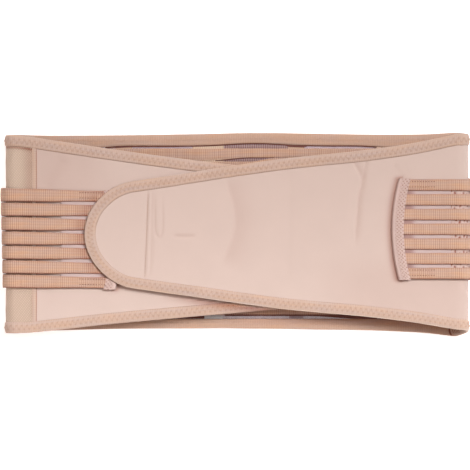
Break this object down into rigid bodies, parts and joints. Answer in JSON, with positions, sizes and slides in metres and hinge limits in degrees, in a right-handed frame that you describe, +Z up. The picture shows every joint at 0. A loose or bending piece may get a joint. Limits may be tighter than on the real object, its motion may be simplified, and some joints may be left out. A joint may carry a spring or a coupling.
{
  "type": "pelvic support belt",
  "caption": "Elastic pelvic support belt lying closed as a flattened loop, with a striped back, tapering padded wings, bound edges and ribbed pull straps that fasten on the wings.",
  "frame": {"origin": "centre of the belt's footprint on the surface it lies on", "axes": "+X along the belt to the right as it is seen lying, +Y towards its top edge, +Z up from the surface through the closed loop to the front wings"},
  "size_m": [0.4012, 0.174, 0.0285],
  "materials": {
    "tricot": "smooth brushed tricot in pinkish beige",
    "binding": "woven elastic binding tape in tan, zigzag stitched",
    "elastic": "ribbed elastic webbing in orange tan",
    "twill": "tan twill weave",
    "tab": "folded tricot with overlock stitching",
    "hook": "pale hook tape"
  },
  "bodies": {
    "root": {"back_panel": "elastic", "back_top_binding": "binding", "back_bottom_binding": "binding", "centre_casing": "elastic", "left_stay_casing": "elastic", "right_stay_casing": "elastic", "left_side_panel": "twill", "right_side_panel": "twill", "left_wing": "tricot", "right_wing": "tricot", "left_side_top_binding": "binding", "left_side_bottom_binding": "binding", "left_wing_binding": "binding", "right_wing_binding": "binding", "left_band_1": "elastic", "left_band_2": "elastic", "left_band_3": "elastic", "left_band_4": "elastic", "left_band_5": "elastic", "left_band_6": "elastic", "left_band_7": "elastic", "right_band_1": "elastic", "right_band_2": "elastic", "right_band_3": "elastic", "right_band_4": "elastic", "right_band_5": "elastic", "right_band_6": "elastic", "right_band_7": "elastic", "left_strap_hook": "hook", "right_strap_hook": "hook", "left_tab": "tab", "right_tab": "tab", "tongue_hook_patch": "hook"}
  },
  "joints": []
}
